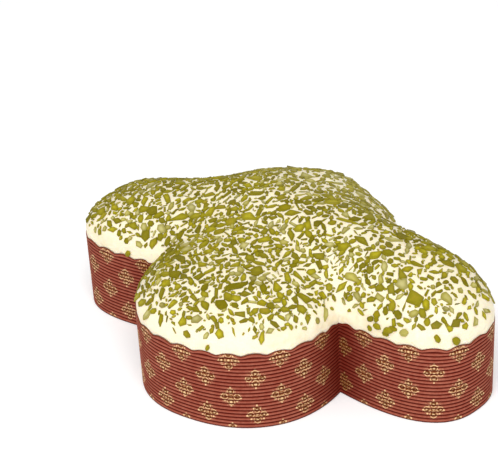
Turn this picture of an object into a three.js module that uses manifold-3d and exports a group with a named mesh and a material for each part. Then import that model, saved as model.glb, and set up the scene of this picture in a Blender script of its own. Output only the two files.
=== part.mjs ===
// A dove-shaped Easter bread in its paper baking case, iced and strewn with nut flakes.
// Millimetres, +Z up. X runs from the head of the dove to its tail, and the case stands on z = 0.
import * as THREE from 'three';
import { mergeVertices } from 'three/addons/utils/BufferGeometryUtils.js';
import Module from 'manifold-3d';

const wasm = await Module();
wasm.setup();

// The paper case
const CASE_HEIGHT = 53;
const PAPER = 1.2;
const SCALLOPS = 56;
const SCALLOP_HEIGHT = 0.9;
const SCALLOP_WAVE = [1, 0.35, -1, 0.35];
const FOOT_ROUND = 1;

// The four lobes of the dove, each a superellipse: its middle, half sizes along and across, turn in
// degrees, power of the curve, taper of its width, and how high the bread domes over it
function lobe(x, y, along, across, turn, power, taper, dome) {
  return { x, y, along, across, turn, power, taper, dome };
}
const TAIL = lobe(60.7, 9.1, 86.4, 41.2, -11.1, 2.51, 0.1, 32.5);
const BACK_WING = lobe(-14.1, 43.1, 71.3, 54, 0.2, 2, 0.02, 30.4);
const HEAD = lobe(-58.9, 9.1, 87.1, 41.5, 8.9, 3.08, -0.01, 27.6);
const FRONT_WING = lobe(0.1, -35.4, 64.6, 67.4, -0.5, 2.3, -0.07, 27.1);
const LOBES = [TAIL, BACK_WING, HEAD, FRONT_WING];
const HEART = new THREE.Vector2(-10, 6);

// How the bread rises from the rim: the roundness and steepness of its shoulder, how softly the
// domes of the lobes run together, and the clear gap between pieces that touch
const SHOULDER_POWER = 2.28;
const SHOULDER_STEEPNESS = 0.49;
const LOBE_BLEND = 0.64;
const FARTHEST_PLACE = 4;
const GAP = 0.3;

// Where the dough rose more or less than the rest: the place, how much, and how far round it
const HILLS = [
  { x: -4, y: 76, rise: 2.2, reach: 24 },
  { x: 26, y: 84, rise: -3.2, reach: 18 },
  { x: 121, y: 27, rise: 2.4, reach: 15 },
  { x: -52, y: 62, rise: -1.4, reach: 18 },
  { x: -138, y: -10, rise: 1.5, reach: 14 },
];
const HILL_FADE = 12;

// The icing: a poured skin that starts just inside the rim and swells out over it, now more, now less
const ICING = 3.6;
const ICING_BELOW_RIM = 4.5;
const ICING_LIP = 3;
const ICING_INSET = 0.8;
const SWELL = 0.3;
const SWELL_RISE = 2.2;

// Where the rings over the dome lie: first at these distances in from the edge, then at these
// shares of the way from the heart of the dove to the last of them
const SHOULDER = PAPER + 2 * GAP + ICING;
const BREAD_INSETS = [7, 9.4, 13.5];
const ICING_INSETS = [2, SHOULDER, 9.4, 13.5];
const INNER_SHARES = [0.75, 0.5, 0.22];

// The nut flakes that are large enough to model here
const FLAKES = 200;
const FLAKE_LENGTH = [6, 14];
const FLAKE_ASPECT = [0.32, 0.7];
const FOUR_CORNERED = 0.65;
const FLAKE_ABOVE = 1.1;
const FLAKE_SUNK = 1.2;
const FLAKE_DEEPEST = 1.8;
const FLAKE_SPAN = 155;
const SPACING = 0.62;
const BARE_RIM = 0.35;
const FLAKE_MARGIN = 7;
const FLAKE_SEED = 12;
const CORNER_WANDER = 0.7;
const CORNER_PLACE = 0.97;
const SLOPE_STEP = 1;
const CORNER_REACH = [0.82, 1.18];
const SIZE_FALL = 2.2;

// How finely the outline is traced, and the length of an edge on the bread and the icing
const TRACE_STEPS = 720;
const ARC_STEPS = 400;
const HALVINGS = 50;
const FOOD_STEP = 12;

// Where a point lies in a lobe: 0 at its middle and 1 on its edge
function lobePlace({ x, y, along, across, turn, power, taper }, point) {
  const angle = THREE.MathUtils.degToRad(turn);
  const dx = point.x - x;
  const dy = point.y - y;
  const u = (dx * Math.cos(angle) + dy * Math.sin(angle)) / along;
  const v = (dy * Math.cos(angle) - dx * Math.sin(angle)) / (across * (1 + taper * u));
  return (Math.abs(u) ** power + Math.abs(v) ** power) ** (1 / power);
}

function outermostLobe(point) {
  const places = LOBES.map((each) => lobePlace(each, point));
  return places.indexOf(Math.min(...places));
}

function edgePoint(angle) {
  const way = new THREE.Vector2(Math.cos(angle), Math.sin(angle));
  let inside = 0;
  let outside = 4 * CASE_HEIGHT;
  for (let i = 0; i < HALVINGS; i += 1) {
    const middle = (inside + outside) / 2;
    const point = HEART.clone().addScaledVector(way, middle);
    const isInside = LOBES.some((each) => lobePlace(each, point) < 1);
    if (isInside) inside = middle;
    else outside = middle;
  }
  return HEART.clone().addScaledVector(way, inside);
}

// The angles of the four sharp notches, where one lobe's edge hands over to the next
function notchAngles() {
  const notches = [];
  for (let i = 0; i < TRACE_STEPS; i += 1) {
    let low = (i / TRACE_STEPS) * 2 * Math.PI;
    let high = ((i + 1) / TRACE_STEPS) * 2 * Math.PI;
    const first = outermostLobe(edgePoint(low));
    if (first === outermostLobe(edgePoint(high))) continue;
    for (let k = 0; k < HALVINGS; k += 1) {
      const middle = (low + high) / 2;
      if (outermostLobe(edgePoint(middle)) === first) low = middle;
      else high = middle;
    }
    notches.push(low);
  }
  return notches;
}

// A line of close points from angle start to angle end, with the length of the way to each point
function tracedEdge(start, end) {
  const line = [];
  for (let k = 0; k <= ARC_STEPS; k += 1) line.push(edgePoint(start + ((end - start) * k) / ARC_STEPS));
  const lengths = [0];
  for (let k = 1; k <= ARC_STEPS; k += 1) lengths.push(lengths[k - 1] + line[k].distanceTo(line[k - 1]));
  return { line, lengths, total: lengths[ARC_STEPS] };
}

function evenPoints({ line, lengths, total }, count) {
  const points = [];
  let at = 0;
  for (let k = 0; k < count; k += 1) {
    const target = (total * k) / count;
    while (lengths[at + 1] < target) at += 1;
    const part = (target - lengths[at]) / (lengths[at + 1] - lengths[at]);
    points.push(line[at].clone().lerp(line[at + 1], part));
  }
  return points;
}

// Each lobe's edge in even steps by length, from one notch to the next
function dovePoints(step) {
  const notches = notchAngles();
  return notches.flatMap((start, i) => {
    const end = i + 1 < notches.length ? notches[i + 1] : notches[0] + 2 * Math.PI;
    const edge = tracedEdge(start, end);
    return evenPoints(edge, Math.round(edge.total / step));
  });
}

// The whole outline in even steps from the notch between the front wing and the tail, where a crest
// of the scallops stands. The points nearest the other notches are moved into them.
function scallopPoints() {
  const notches = notchAngles();
  const first = notches[notches.length - 1];
  const points = evenPoints(tracedEdge(first, first + 2 * Math.PI), SCALLOPS * SCALLOP_WAVE.length);
  for (const notch of notches) {
    const corner = edgePoint(notch);
    const distances = points.map((point) => point.distanceTo(corner));
    points[distances.indexOf(Math.min(...distances))] = corner;
  }
  return points;
}

// The outward direction at each point, lengthened at a notch so that an inset keeps its width
function outwardAt(points) {
  return points.map((point, i) => {
    const before = points[(i + points.length - 1) % points.length];
    const after = points[(i + 1) % points.length];
    const a = point.clone().sub(before).normalize();
    const b = after.clone().sub(point).normalize();
    const normal = new THREE.Vector2(a.y + b.y, -a.x - b.x);
    return normal.multiplyScalar(1 / (1 + a.dot(b)));
  });
}

function insetRing(points, outward, inset, height) {
  return points.map((point, i) => {
    const away = typeof inset === 'function' ? inset(point, i) : inset;
    const z = typeof height === 'function' ? height(point, i) : height;
    return new THREE.Vector3(point.x - outward[i].x * away, point.y - outward[i].y * away, z);
  });
}

function shorterAcross(p, q, r, s) {
  return (p.x - q.x) ** 2 + (p.y - q.y) ** 2 <= (r.x - s.x) ** 2 + (r.y - s.y) ** 2;
}

// A closed body through a stack of equal rings, shut by a fan at each end. Each four-sided face is
// split along the diagonal that is shorter in plan, so that stacked skins are split alike.
function ringBody(firstCentre, rings, lastCentre) {
  const count = rings[0].length;
  const corners = [firstCentre, ...rings.flat(), lastCentre];
  const last = corners.length - 1;
  const faces = [];
  const at = (ring, k) => 1 + ring * count + (k % count);
  for (let k = 0; k < count; k += 1) {
    faces.push(0, at(0, k + 1), at(0, k));
    for (let r = 0; r + 1 < rings.length; r += 1) {
      const [a, b, c, d] = [at(r, k), at(r, k + 1), at(r + 1, k + 1), at(r + 1, k)];
      if (shorterAcross(corners[a], corners[c], corners[b], corners[d])) faces.push(a, b, c, a, c, d);
      else faces.push(a, b, d, b, c, d);
    }
    faces.push(last, at(rings.length - 1, k), at(rings.length - 1, k + 1));
  }
  const geometry = new THREE.BufferGeometry().setFromPoints(corners);
  geometry.setIndex(faces);
  return geometry;
}

// A soft hump: 1 at its middle, falling off over its reach
function humpAt(point, x, y, reach) {
  return Math.exp(-((point.x - x) ** 2 + (point.y - y) ** 2) / reach ** 2);
}

// Runs two rises together. The result is at 0 where the higher of them is.
function joined(f, g) {
  return (f + g + Math.sqrt(f * f + g * g - 2 * LOBE_BLEND * f * g)) / (1 + LOBE_BLEND);
}

// How far the bread domes above the rim at a place
function domeHeight(point) {
  const [tail, backWing, head, frontWing] = LOBES.map((each) => {
    const place = Math.min(lobePlace(each, point), FARTHEST_PLACE);
    return each.dome ** (1 / SHOULDER_STEEPNESS) * (1 - place ** SHOULDER_POWER);
  });
  const rise = joined(joined(tail, head), joined(backWing, frontWing));
  return Math.max(rise, 0) ** SHOULDER_STEEPNESS;
}

// Low, broad unevenness of the hand-poured icing
function unevenness(point) {
  const broad = 0.5 * Math.sin(point.x / 17 + 0.6) * Math.cos(point.y / 13);
  return broad + 0.4 * Math.sin((point.x + point.y) / 9);
}

function icingTop(point) {
  const dome = domeHeight(point) + unevenness(point);
  const share = THREE.MathUtils.clamp(dome / HILL_FADE, 0, 1);
  const hills = HILLS.reduce((sum, { x, y, rise, reach }) => sum + rise * humpAt(point, x, y, reach), 0);
  return CASE_HEIGHT + ICING_LIP + dome + share * hills;
}

// How far the icing swells out just above the rim
function swellAt(point) {
  return SWELL * Math.sin(point.x / 11 + point.y / 8);
}

// Rings that close in over the top towards the heart of the dove
function domeRings(points, outward, insets, height) {
  const outer = insets.map((inset) => insetRing(points, outward, inset, 0));
  const last = outer[outer.length - 1];
  const heart = new THREE.Vector3(HEART.x, HEART.y, 0);
  const inner = INNER_SHARES.map((share) => last.map((corner) => heart.clone().lerp(corner, share)));
  return [...outer, ...inner].map((ring) => ring.map((corner) => corner.setZ(height(corner))));
}

function caseGeometry() {
  const points = scallopPoints();
  const outward = outwardAt(points);
  const rim = (point, i) => CASE_HEIGHT + SCALLOP_HEIGHT * SCALLOP_WAVE[i % SCALLOP_WAVE.length];
  const rings = [
    insetRing(points, outward, FOOT_ROUND, 0),
    insetRing(points, outward, 0, FOOT_ROUND),
    insetRing(points, outward, 0, rim),
    insetRing(points, outward, PAPER, rim),
    insetRing(points, outward, PAPER, PAPER + FOOT_ROUND),
    insetRing(points, outward, PAPER + FOOT_ROUND, PAPER),
  ];
  const below = new THREE.Vector3(HEART.x, HEART.y, 0);
  const above = new THREE.Vector3(HEART.x, HEART.y, PAPER);
  return ringBody(below, rings, above);
}

// The dome of the bread, from the ledge that the icing stands on up to the last ring at the heart
function breadDome(points, outward, above) {
  const shoulder = insetRing(points, outward, SHOULDER - above, CASE_HEIGHT - ICING_BELOW_RIM - GAP);
  const lip = shoulder.map((corner) => new THREE.Vector3(corner.x, corner.y, CASE_HEIGHT));
  const top = (place) => icingTop(place) - ICING - GAP + above;
  return [shoulder, lip, ...domeRings(points, outward, BREAD_INSETS, top)];
}

function breadGeometry() {
  const points = dovePoints(FOOD_STEP);
  const outward = outwardAt(points);
  const side = PAPER + GAP;
  const ledge = CASE_HEIGHT - ICING_BELOW_RIM - GAP;
  const rings = [
    insetRing(points, outward, side + FOOT_ROUND, side),
    insetRing(points, outward, side, side + FOOT_ROUND),
    insetRing(points, outward, side, ledge),
    ...breadDome(points, outward, 0),
  ];
  const below = new THREE.Vector3(HEART.x, HEART.y, side);
  const above = new THREE.Vector3(HEART.x, HEART.y, icingTop(HEART) - ICING - GAP);
  return ringBody(below, rings, above);
}

function icingGeometry() {
  const points = dovePoints(FOOD_STEP);
  const outward = outwardAt(points);
  const side = PAPER + GAP;
  const foot = CASE_HEIGHT - ICING_BELOW_RIM;
  const [inner, ...under] = breadDome(points, outward, GAP);
  const innerFoot = inner.map((corner) => new THREE.Vector3(corner.x, corner.y, foot));
  const overRim = CASE_HEIGHT + SCALLOP_HEIGHT + GAP;
  const swollen = (point) => ICING_INSET - swellAt(point);
  const rings = [
    ...under.reverse(),
    innerFoot,
    insetRing(points, outward, side, foot),
    insetRing(points, outward, side, overRim),
    insetRing(points, outward, swollen, overRim + SWELL_RISE),
    insetRing(points, outward, swollen, overRim + 3 * SWELL_RISE),
    ...domeRings(points, outward, ICING_INSETS, icingTop),
  ];
  const below = new THREE.Vector3(HEART.x, HEART.y, icingTop(HEART) - ICING);
  const above = new THREE.Vector3(HEART.x, HEART.y, icingTop(HEART));
  return ringBody(below, rings, above);
}

// A seeded draw between 0 and 1, the same at every run
function seededDraw(seed) {
  let state = seed;
  return () => {
    state = (state * 1664525 + 1013904223) % 4294967296;
    return state / 4294967296;
  };
}

// The outline of an angular chip of four or five corners, in XY with its middle at the origin
function flakeOutline(draw, length) {
  const aspect = THREE.MathUtils.lerp(FLAKE_ASPECT[0], FLAKE_ASPECT[1], draw());
  const corners = draw() < FOUR_CORNERED ? 4 : 5;
  const outline = [];
  for (let i = 0; i < corners; i += 1) {
    const angle = ((i + CORNER_WANDER * (draw() - 0.5)) / corners) * 2 * Math.PI;
    const reach = 0.5 * length * THREE.MathUtils.lerp(CORNER_REACH[0], CORNER_REACH[1], draw());
    outline.push(new THREE.Vector2(Math.cos(angle) * reach, Math.sin(angle) * reach * aspect));
  }
  return outline;
}

// Turns a chip by spin and lays it square to the smooth dome at a place
function flakeTurn(point, spin) {
  const slope = (x, y) => {
    const ahead = icingTop(new THREE.Vector2(point.x + x, point.y + y));
    return (ahead - icingTop(new THREE.Vector2(point.x - x, point.y - y))) / (2 * SLOPE_STEP);
  };
  const up = new THREE.Vector3(0, 0, 1);
  const normal = new THREE.Vector3(-slope(SLOPE_STEP, 0), -slope(0, SLOPE_STEP), 1).normalize();
  const lie = new THREE.Quaternion().setFromUnitVectors(up, normal);
  return lie.multiply(new THREE.Quaternion().setFromAxisAngle(up, spin));
}

// A chip lies well if no lower corner hangs past the edge or digs through the icing
function liesWell({ point, outline, turn }) {
  return outline.every(({ x, y }) => {
    const corner = new THREE.Vector3(x, y, -FLAKE_SUNK).applyQuaternion(turn);
    corner.add(new THREE.Vector3(point.x, point.y, icingTop(point)));
    const inside = LOBES.some((each) => lobePlace(each, corner) < CORNER_PLACE);
    return inside && icingTop(corner) - corner.z < FLAKE_DEEPEST;
  });
}

// The flakes lie all over the top, the largest first, thinner towards the rim and never too close
function laidFlakes() {
  const draw = seededDraw(FLAKE_SEED);
  const laid = [];
  while (laid.length < FLAKES) {
    const x = FLAKE_SPAN * (2 * draw() - 1);
    const point = new THREE.Vector2(x, FLAKE_SPAN * (2 * draw() - 1));
    const share = 1 - laid.length / FLAKES;
    const length = THREE.MathUtils.lerp(FLAKE_LENGTH[0], FLAKE_LENGTH[1], share ** SIZE_FALL);
    const edge = edgePoint(Math.atan2(point.y - HEART.y, point.x - HEART.x));
    const room = edge.distanceTo(HEART) - point.distanceTo(HEART);
    if (room < FLAKE_MARGIN) continue;
    if (room < 3 * FLAKE_MARGIN && draw() < BARE_RIM) continue;
    const tooClose = laid.some((other) => other.point.distanceTo(point) < SPACING * (length + other.length));
    if (tooClose) continue;
    const turn = flakeTurn(point, draw() * 2 * Math.PI);
    const flake = { point, length, turn, outline: flakeOutline(draw, length) };
    if (liesWell(flake)) laid.push(flake);
  }
  return laid;
}

// A chip set into the faceted icing, met from above
function flakeGeometry({ point, turn, outline }, mesh) {
  const above = new THREE.Vector3(point.x, point.y, 3 * CASE_HEIGHT);
  const [ground] = new THREE.Raycaster(above, new THREE.Vector3(0, 0, -1)).intersectObject(mesh);
  const depth = FLAKE_ABOVE + FLAKE_SUNK;
  const geometry = new THREE.ExtrudeGeometry(new THREE.Shape(outline), { depth, bevelEnabled: false });
  geometry.translate(0, 0, -FLAKE_SUNK).applyQuaternion(turn);
  return geometry.translate(point.x, point.y, ground.point.z);
}

function toManifold(geometry) {
  const bare = geometry.clone();
  bare.deleteAttribute('normal');
  bare.deleteAttribute('uv');
  const merged = mergeVertices(bare, 1e-4);
  const vertProperties = new Float32Array(merged.attributes.position.array);
  const triVerts = new Uint32Array(merged.index.array);
  return new wasm.Manifold(new wasm.Mesh({ numProp: 3, vertProperties, triVerts }));
}

function toGeometry(solid) {
  const mesh = solid.getMesh();
  const geometry = new THREE.BufferGeometry();
  geometry.setAttribute('position', new THREE.BufferAttribute(mesh.vertProperties, 3));
  geometry.setIndex(new THREE.BufferAttribute(mesh.triVerts, 1));
  return geometry;
}

function flakedIcing() {
  const bare = icingGeometry();
  const mesh = new THREE.Mesh(bare);
  let solid = toManifold(bare);
  for (const flake of laidFlakes()) solid = solid.add(toManifold(flakeGeometry(flake, mesh)));
  return toGeometry(solid);
}

function paper() {
  return new THREE.MeshStandardMaterial({ color: 0x6e2c2b, roughness: 0.75, metalness: 0 });
}

function crumb() {
  return new THREE.MeshStandardMaterial({ color: 0xd99a4a, roughness: 0.9, metalness: 0 });
}

function icing() {
  return new THREE.MeshStandardMaterial({ color: 0xf4ecd4, roughness: 0.5, metalness: 0 });
}

function addPart(group, name, geometry, material) {
  geometry.computeVertexNormals();
  const mesh = new THREE.Mesh(geometry, material);
  mesh.name = name;
  group.add(mesh);
}

const group = new THREE.Group();
addPart(group, 'paper_case', caseGeometry(), paper());
addPart(group, 'bread', breadGeometry(), crumb());
addPart(group, 'icing', flakedIcing(), icing());

const box = new THREE.Box3().setFromObject(group);
const middle = box.getCenter(new THREE.Vector3());
group.position.set(-middle.x, -middle.y, 0);

export default group;
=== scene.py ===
import bisect
import math
import random

import bmesh
import bpy
from mathutils import Matrix, Quaternion, Vector, noise
from mathutils.bvhtree import BVHTree


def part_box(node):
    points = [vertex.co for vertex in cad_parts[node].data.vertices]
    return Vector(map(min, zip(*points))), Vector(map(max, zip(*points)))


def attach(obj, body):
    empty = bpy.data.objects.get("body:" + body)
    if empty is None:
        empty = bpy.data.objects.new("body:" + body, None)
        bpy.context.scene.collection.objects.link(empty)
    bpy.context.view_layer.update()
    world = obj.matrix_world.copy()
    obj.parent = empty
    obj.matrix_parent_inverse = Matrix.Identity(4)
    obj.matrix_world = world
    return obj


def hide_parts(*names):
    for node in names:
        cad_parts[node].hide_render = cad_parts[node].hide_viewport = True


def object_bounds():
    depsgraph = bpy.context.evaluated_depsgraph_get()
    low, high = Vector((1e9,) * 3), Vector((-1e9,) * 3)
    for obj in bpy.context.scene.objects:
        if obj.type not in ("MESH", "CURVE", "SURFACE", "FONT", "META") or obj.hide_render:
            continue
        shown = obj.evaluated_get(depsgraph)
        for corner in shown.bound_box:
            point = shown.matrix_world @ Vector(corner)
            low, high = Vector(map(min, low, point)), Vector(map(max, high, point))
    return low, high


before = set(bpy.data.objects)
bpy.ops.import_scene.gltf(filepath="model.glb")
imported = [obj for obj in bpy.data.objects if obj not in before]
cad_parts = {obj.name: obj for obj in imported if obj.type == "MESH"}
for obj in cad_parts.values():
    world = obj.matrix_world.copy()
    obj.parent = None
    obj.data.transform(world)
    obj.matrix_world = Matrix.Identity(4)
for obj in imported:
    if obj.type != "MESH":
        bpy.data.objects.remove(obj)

cad_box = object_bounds()
scene = bpy.context.scene


# The camera stands where the photographer did: above the table, looking down on the front wing and
# the tail. It is turned a little about its own line of sight, as the photo is.
AIM = Vector((-0.065, 0.063, 0.0265))
CAMERA_AZIMUTH = math.radians(35.5)
CAMERA_ELEVATION = math.radians(30.4)
CAMERA_DISTANCE = 1.08
CAMERA_ROLL = math.radians(-3.34)
CAMERA_LENS = 112.8


def looking_back(azimuth, elevation):
    """The direction from the object to a viewer at that azimuth and height."""
    level = math.cos(elevation)
    return Vector((math.sin(azimuth) * level, -math.cos(azimuth) * level, math.sin(elevation)))


def placed(name, data):
    thing = bpy.data.objects.new(name, data)
    scene.collection.objects.link(thing)
    return thing


camera = placed("camera", bpy.data.cameras.new("camera"))
back = looking_back(CAMERA_AZIMUTH, CAMERA_ELEVATION)
camera.data.lens = CAMERA_LENS
camera.data.dof.use_dof = False
upright = (-back).to_track_quat("-Z", "Y")
camera.rotation_mode = "QUATERNION"
camera.rotation_quaternion = upright @ Quaternion((0, 0, 1), CAMERA_ROLL)
camera.location = AIM + back * CAMERA_DISTANCE
scene.camera = camera


# The paper case: burgundy baking paper in a ribbed double layer, folded round the outline of a dove,
# with a scalloped rim and small gold ornaments printed on the outside before it was folded.
SCALLOP_HEIGHT = 0.0009
CASE_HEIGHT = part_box("paper_case")[1].z - SCALLOP_HEIGHT
PAPER = 0.0012
FOOT_ROUND = 0.001
SCALLOP_PITCH = 0.01535
SCALLOP_POWER = 3.2
# Round a notch: how far off it the rim's last crest and trough stand, how deep the rim dips in the
# fold, and how far off it painted shade darkens the paper
FOLD_CREST = 0.007
FOLD_TROUGH = 0.0125
FOLD_DIP = 2.6
FOLD_SHADE = 0.036
CASE_STEP = 0.0016
RIBS = 21
RIBS_START = FOOT_ROUND * 0.5
RIB_GROOVE = 0.0008
RIB_PROFILE = ((0.0, 1.0), (0.2, 0.3), (0.4, 0.0), (0.62, 0.0), (0.82, 0.35))
# The rounding of the foot: inset and height as shares of FOOT_ROUND. The rounding of the rim: inset and
# drop as shares of PAPER, and the height up the print's strip, which goes on inside.
FOOT_ARC = ((1.0, 0.0), (0.5, 0.13), (0.13, 0.5))
RIM_ARC = ((0.15, 0.0, 1.0), (0.55, 0.0, 1.02), (1.0, 0.3, 1.04))
STRIPS_INSIDE = (1.1, 1.9, 2.0)
WAVY_UNDER_RIM = 0.0045
CREST_BEFORE_NOTCH = 0.0015
CREST_PAST_NOTCH = 0.0035
FIRST_TAIL_CREST = 40
TRACE_STEPS = 720
ARC_STEPS = 400
HALVINGS = 50
REACH = 0.212
INSIDE_FRAME = 0.00012

# The lobes of the dove are superellipses: middle, half sizes along and across, turn in degrees, power
# of the curve, taper of the width, and how high the bread domes over the lobe
TAIL = (0.0607, 0.0091, 0.0864, 0.0412, -11.1, 2.51, 0.1, 0.0325)
BACK_WING = (-0.0141, 0.0431, 0.0713, 0.054, 0.2, 2.0, 0.02, 0.0304)
HEAD = (-0.0589, 0.0091, 0.0871, 0.0415, 8.9, 3.08, -0.01, 0.0276)
FRONT_WING = (0.0001, -0.0354, 0.0646, 0.0674, -0.5, 2.3, -0.07, 0.0271)
LOBES = (TAIL, BACK_WING, HEAD, FRONT_WING)
HEART = Vector((-0.01, 0.006))


def lobe_place(lobe, point):
    """Where a point lies in a lobe: 0 at its middle and 1 on its edge."""
    x, y, along, across, turn, power, taper, _ = lobe
    angle = math.radians(turn)
    dx = point.x - x
    dy = point.y - y
    u = (dx * math.cos(angle) + dy * math.sin(angle)) / along
    v = (dy * math.cos(angle) - dx * math.sin(angle)) / (across * (1 + taper * u))
    return (abs(u) ** power + abs(v) ** power) ** (1 / power)


def outermost_lobe(point):
    return min(range(len(LOBES)), key=lambda i: lobe_place(LOBES[i], point))


def edge_point(angle):
    """The outline's point in that direction from the heart, found by halving."""
    way = Vector((math.cos(angle), math.sin(angle)))
    inside, outside = 0.0, REACH
    for _ in range(HALVINGS):
        middle = (inside + outside) / 2
        point = HEART + way * middle
        if any(lobe_place(lobe, point) < 1 for lobe in LOBES):
            inside = middle
        else:
            outside = middle
    return HEART + way * inside


def notch_angles():
    """The angles of the sharp notches, where one lobe's edge hands over to the next."""
    notches = []
    for i in range(TRACE_STEPS):
        low = 2 * math.pi * i / TRACE_STEPS
        high = 2 * math.pi * (i + 1) / TRACE_STEPS
        first = outermost_lobe(edge_point(low))
        if first == outermost_lobe(edge_point(high)):
            continue
        for _ in range(HALVINGS):
            middle = (low + high) / 2
            if outermost_lobe(edge_point(middle)) == first:
                low = middle
            else:
                high = middle
        notches.append(low)
    return notches


def traced_arcs():
    """Each lobe's edge from notch to notch, as close points with their length from its start."""
    notches = notch_angles()
    arcs = []
    for start, end in zip(notches, [*notches[1:], notches[0] + 2 * math.pi]):
        arc = [edge_point(start + (end - start) * k / ARC_STEPS) for k in range(ARC_STEPS + 1)]
        lengths = [0.0]
        for a, b in zip(arc, arc[1:]):
            lengths.append(lengths[-1] + (b - a).length)
        arcs.append((arc, lengths))
    return arcs


ARCS = traced_arcs()
PERIMETER = sum(lengths[-1] for _, lengths in ARCS)
NOTCHES = [sum(lengths[-1] for _, lengths in ARCS[:i]) for i in range(len(ARCS) + 1)]
# Crests are counted from one just before the notch at the end of each arc. The tail's first crest
# stands just past the notch at its start, and counts as number FIRST_TAIL_CREST.
TAIL_CRESTS = NOTCHES[-2] + CREST_PAST_NOTCH - FIRST_TAIL_CREST * SCALLOP_PITCH
CRESTS = [*(notch - CREST_BEFORE_NOTCH for notch in NOTCHES[1:-1]), TAIL_CRESTS]


def along_edge(distance):
    """The outline's point at a distance round it."""
    distance %= PERIMETER
    for arc, lengths in ARCS:
        if distance <= lengths[-1]:
            break
        distance -= lengths[-1]
    at = min(max(bisect.bisect_left(lengths, distance), 1), ARC_STEPS)
    share = (distance - lengths[at - 1]) / (lengths[at] - lengths[at - 1])
    return arc[at - 1].lerp(arc[at], min(share, 1.0))


def dove_outline(step):
    """Points round the outline, even in each lobe, the outward way at each, and how far round it is."""
    distances = []
    for start, end in zip(NOTCHES, NOTCHES[1:]):
        count = round((end - start) / step)
        distances += [start + (end - start) * k / count for k in range(count)]
    points = [along_edge(distance) for distance in distances]
    outward = []
    for i, point in enumerate(points):
        a = (point - points[i - 1]).normalized()
        b = (points[(i + 1) % len(points)] - point).normalized()
        outward.append(Vector((a.y + b.y, -a.x - b.x)) / (1 + a.dot(b)))
    return points, outward, distances


# The frame's origin is the middle of the whole model, so the outline moves by this much
case_points, case_outward, case_distances = dove_outline(CASE_STEP)
traced_low = Vector((min(p.x for p in case_points), min(p.y for p in case_points)))
SHIFT = Vector(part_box("paper_case")[0][:2]) - traced_low


def inset_ring(points, outward, inset, height):
    """The outline drawn in by inset, at a height. Both may be numbers or have a value for each point."""
    insets = inset if isinstance(inset, list) else [inset] * len(points)
    heights = height if isinstance(height, list) else [height] * len(points)
    ring = []
    for point, way, away, z in zip(points, outward, insets, heights):
        place = point - way * away + SHIFT
        ring.append(Vector((place.x, place.y, z)))
    return ring


def heart_at(height):
    return Vector((HEART.x + SHIFT.x, HEART.y + SHIFT.y, height))


def drawn_body(rings, first_centre, last_centre):
    """A closed body: a disc on the first ring whose edge is drawn out from ring to ring and shut.
    Gives the bmesh and the vertices of each ring in order."""
    body = bmesh.new()
    bmesh.ops.create_circle(body, cap_ends=True, segments=len(rings[0]), radius=1)
    body.verts.ensure_lookup_table()
    laid = [list(body.verts)]
    border = list(body.edges)
    first_cap = list(body.faces)
    for _ in rings[1:]:
        drawn = bmesh.ops.extrude_edge_only(body, edges=border)["geom"]
        fresh = {part for part in drawn if isinstance(part, bmesh.types.BMVert)}
        partners = [[edge.other_vert(vertex) for edge in vertex.link_edges] for vertex in laid[-1]]
        laid.append([next(other for other in group if other in fresh) for group in partners])
        near = [edge for vertex in laid[-1] for edge in vertex.link_edges]
        border = [edge for edge in dict.fromkeys(near) if all(vertex in fresh for vertex in edge.verts)]
    for vertices, ring in zip(laid, rings):
        for vertex, place in zip(vertices, ring):
            vertex.co = place
    last_cap = bmesh.ops.contextual_create(body, geom=border)["faces"]
    for cap, centre in ((first_cap, first_centre), (last_cap, last_centre)):
        middle = bmesh.ops.poke(body, faces=cap)["verts"]
        middle[0].co = centre
    bmesh.ops.recalc_face_normals(body, faces=list(body.faces))

    # Extruding leaves the faces in an order that varies from run to run, so they are put in order
    number = {vertex: i for i, vertex in enumerate(vertex for ring in laid for vertex in ring)}
    ordered = sorted(body.faces, key=lambda face: sorted(number.get(vertex, -1) for vertex in face.verts))
    rank = {face: i for i, face in enumerate(ordered)}
    body.faces.sort(key=rank.get)
    return body, laid


def mesh_from(body, name):
    mesh = bpy.data.meshes.new(name)
    body.to_mesh(mesh)
    body.free()
    return mesh


def finished(body, name, material, smooth=True):
    """A bmesh made into a piece that rides on the part's one body."""
    mesh = mesh_from(body, name)
    for polygon in mesh.polygons:
        polygon.use_smooth = smooth
    mesh.materials.append(material)
    piece = placed(name, mesh)
    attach(piece, "root")
    return piece


def off_notch(distance):
    return min(abs(distance - notch) for notch in NOTCHES)


def smooth_step(value, start, end):
    share = min(max((value - start) / (end - start), 0.0), 1.0)
    return share * share * (3 - 2 * share)


def column_at(distance, arc):
    """How many crests further on than the arc's first crest a place is."""
    return (distance - CRESTS[arc]) / SCALLOP_PITCH


def scallop_wave(distance):
    """1 on a crest of the rim and -1 in a trough. The crests are broad and the troughs narrow, and the
    rim dips where the paper is folded into a notch, with a crest on either side."""
    arc = min(bisect.bisect_right(NOTCHES, distance), len(ARCS)) - 1
    turn = math.pi * column_at(distance, arc)
    soft = 1 - 2 * abs(math.sin(turn)) ** SCALLOP_POWER
    pointed = 2 * abs(math.cos(turn)) - 1
    off = off_notch(distance)
    dip = 1 - FOLD_DIP * (1 - smooth_step(off, 0, FOLD_CREST)) - 2 * smooth_step(off, FOLD_CREST, FOLD_TROUGH)
    past = smooth_step(off, FOLD_TROUGH, FOLD_TROUGH + FOLD_CREST / 2)
    return (1 - past) * dip + past * (soft + pointed) / 2


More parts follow.
